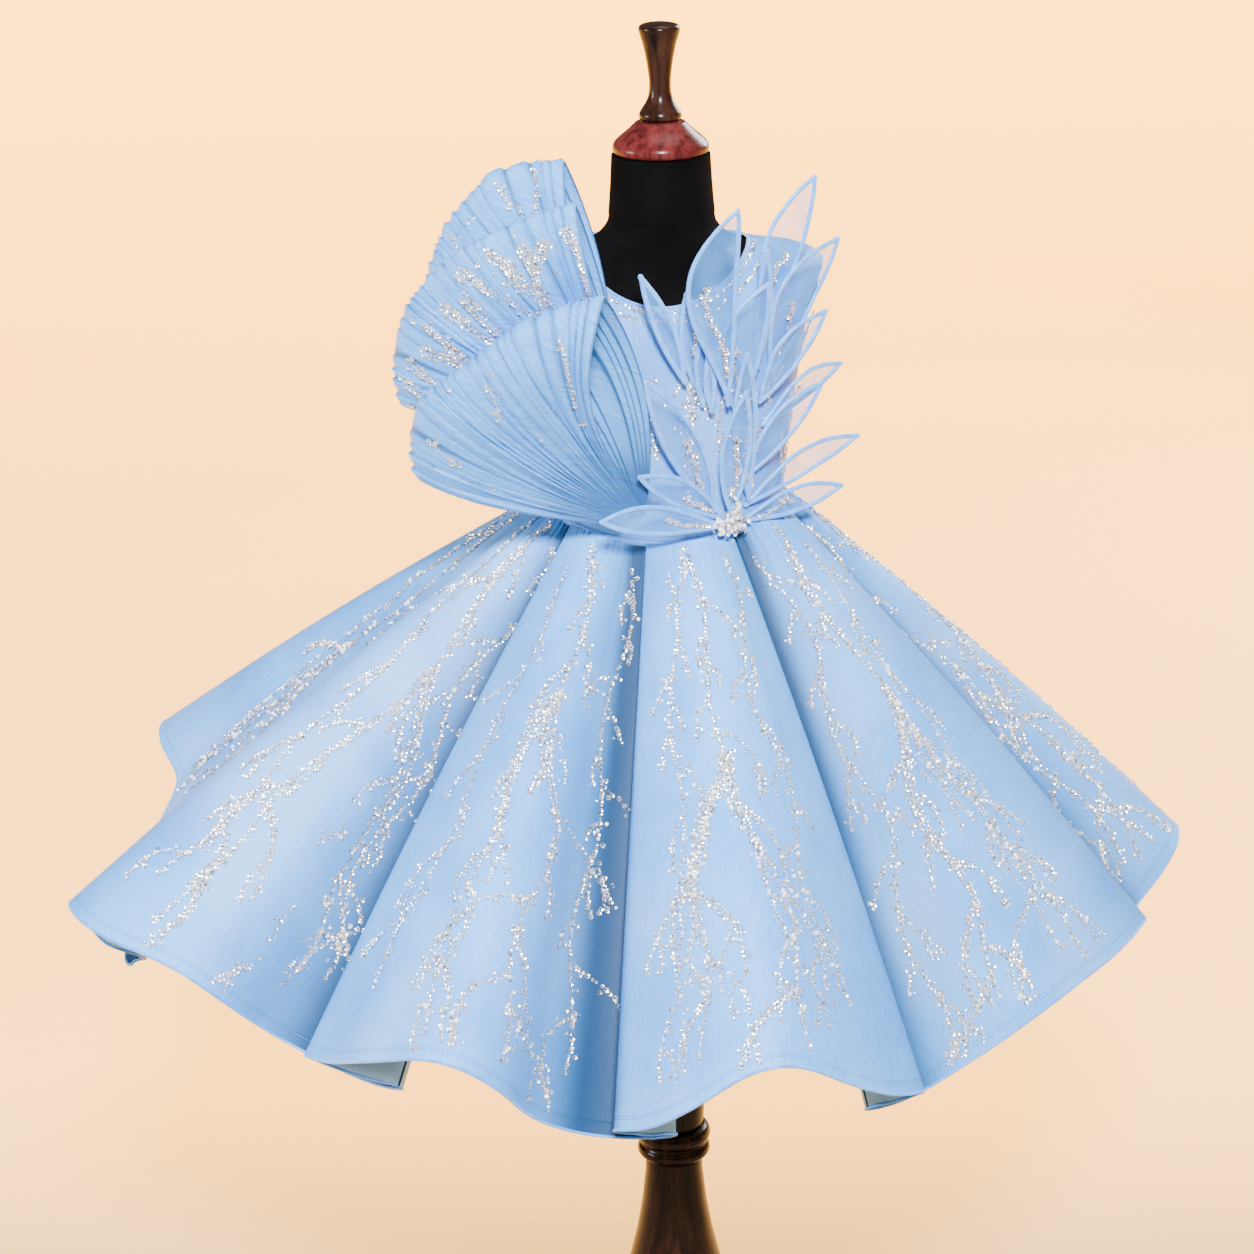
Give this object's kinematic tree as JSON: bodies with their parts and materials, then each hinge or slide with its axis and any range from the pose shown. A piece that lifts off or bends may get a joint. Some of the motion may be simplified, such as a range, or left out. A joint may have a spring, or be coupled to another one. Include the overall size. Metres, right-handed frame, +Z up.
{
  "type": "party dress on a dress form",
  "caption": "Child's party dress with a flared, box-pleated skirt, tucked half-bow loops and a spray of piped leaves, worn by a limbless dress form on a turned pedestal stand.",
  "frame": {"origin": "on the floor, at the centre of the pedestal's flat underside", "axes": "+Z up along the pole, the front of the dress towards -Y, the viewer's right towards +X"},
  "size_m": [0.8274, 0.7394, 1.1506],
  "materials": {
    "satin_organza": "satin organza, sky blue",
    "organza": "sheer organza, sky blue",
    "jersey": "black jersey cover",
    "mahogany": "semi-gloss mahogany",
    "dark_wood": "gloss dark brown"
  },
  "bodies": {
    "root": {"bodice_front": "satin_organza", "bodice_back_left": "satin_organza", "bodice_back_right": "satin_organza", "skirt_flare_back_left": "satin_organza", "skirt_flare_side_left": "satin_organza", "skirt_flare_left": "satin_organza", "skirt_flare_left_front": "satin_organza", "skirt_flare_front": "satin_organza", "skirt_flare_right_front": "satin_organza", "skirt_flare_right": "satin_organza", "skirt_flare_back_right": "satin_organza", "skirt_flare_back": "satin_organza", "loop_lower": "organza", "loop_middle": "organza", "loop_upper": "organza", "leaf_outer_high": "organza", "leaf_slip": "organza", "leaf_outer_second": "organza", "leaf_outer_third": "organza", "leaf_neck_inner": "organza", "leaf_neck_mid": "organza", "leaf_neck_left": "organza", "leaf_chest_left": "organza", "leaf_chest_slip": "organza", "leaf_neck_large": "organza", "leaf_outer_under": "organza", "leaf_outer_long": "organza", "leaf_chest_right": "organza", "leaf_waist_left": "organza", "leaf_waist_mid": "organza", "leaf_outer_fourth": "organza", "leaf_outer_low": "organza", "leaf_inner_up": "organza", "leaf_inner_low": "organza", "form_torso": "jersey", "neck_cap": "mahogany", "finial": "dark_wood", "pole_collar": "dark_wood", "pole": "dark_wood", "pole_ring": "dark_wood", "pedestal": "dark_wood"}
  },
  "joints": []
}
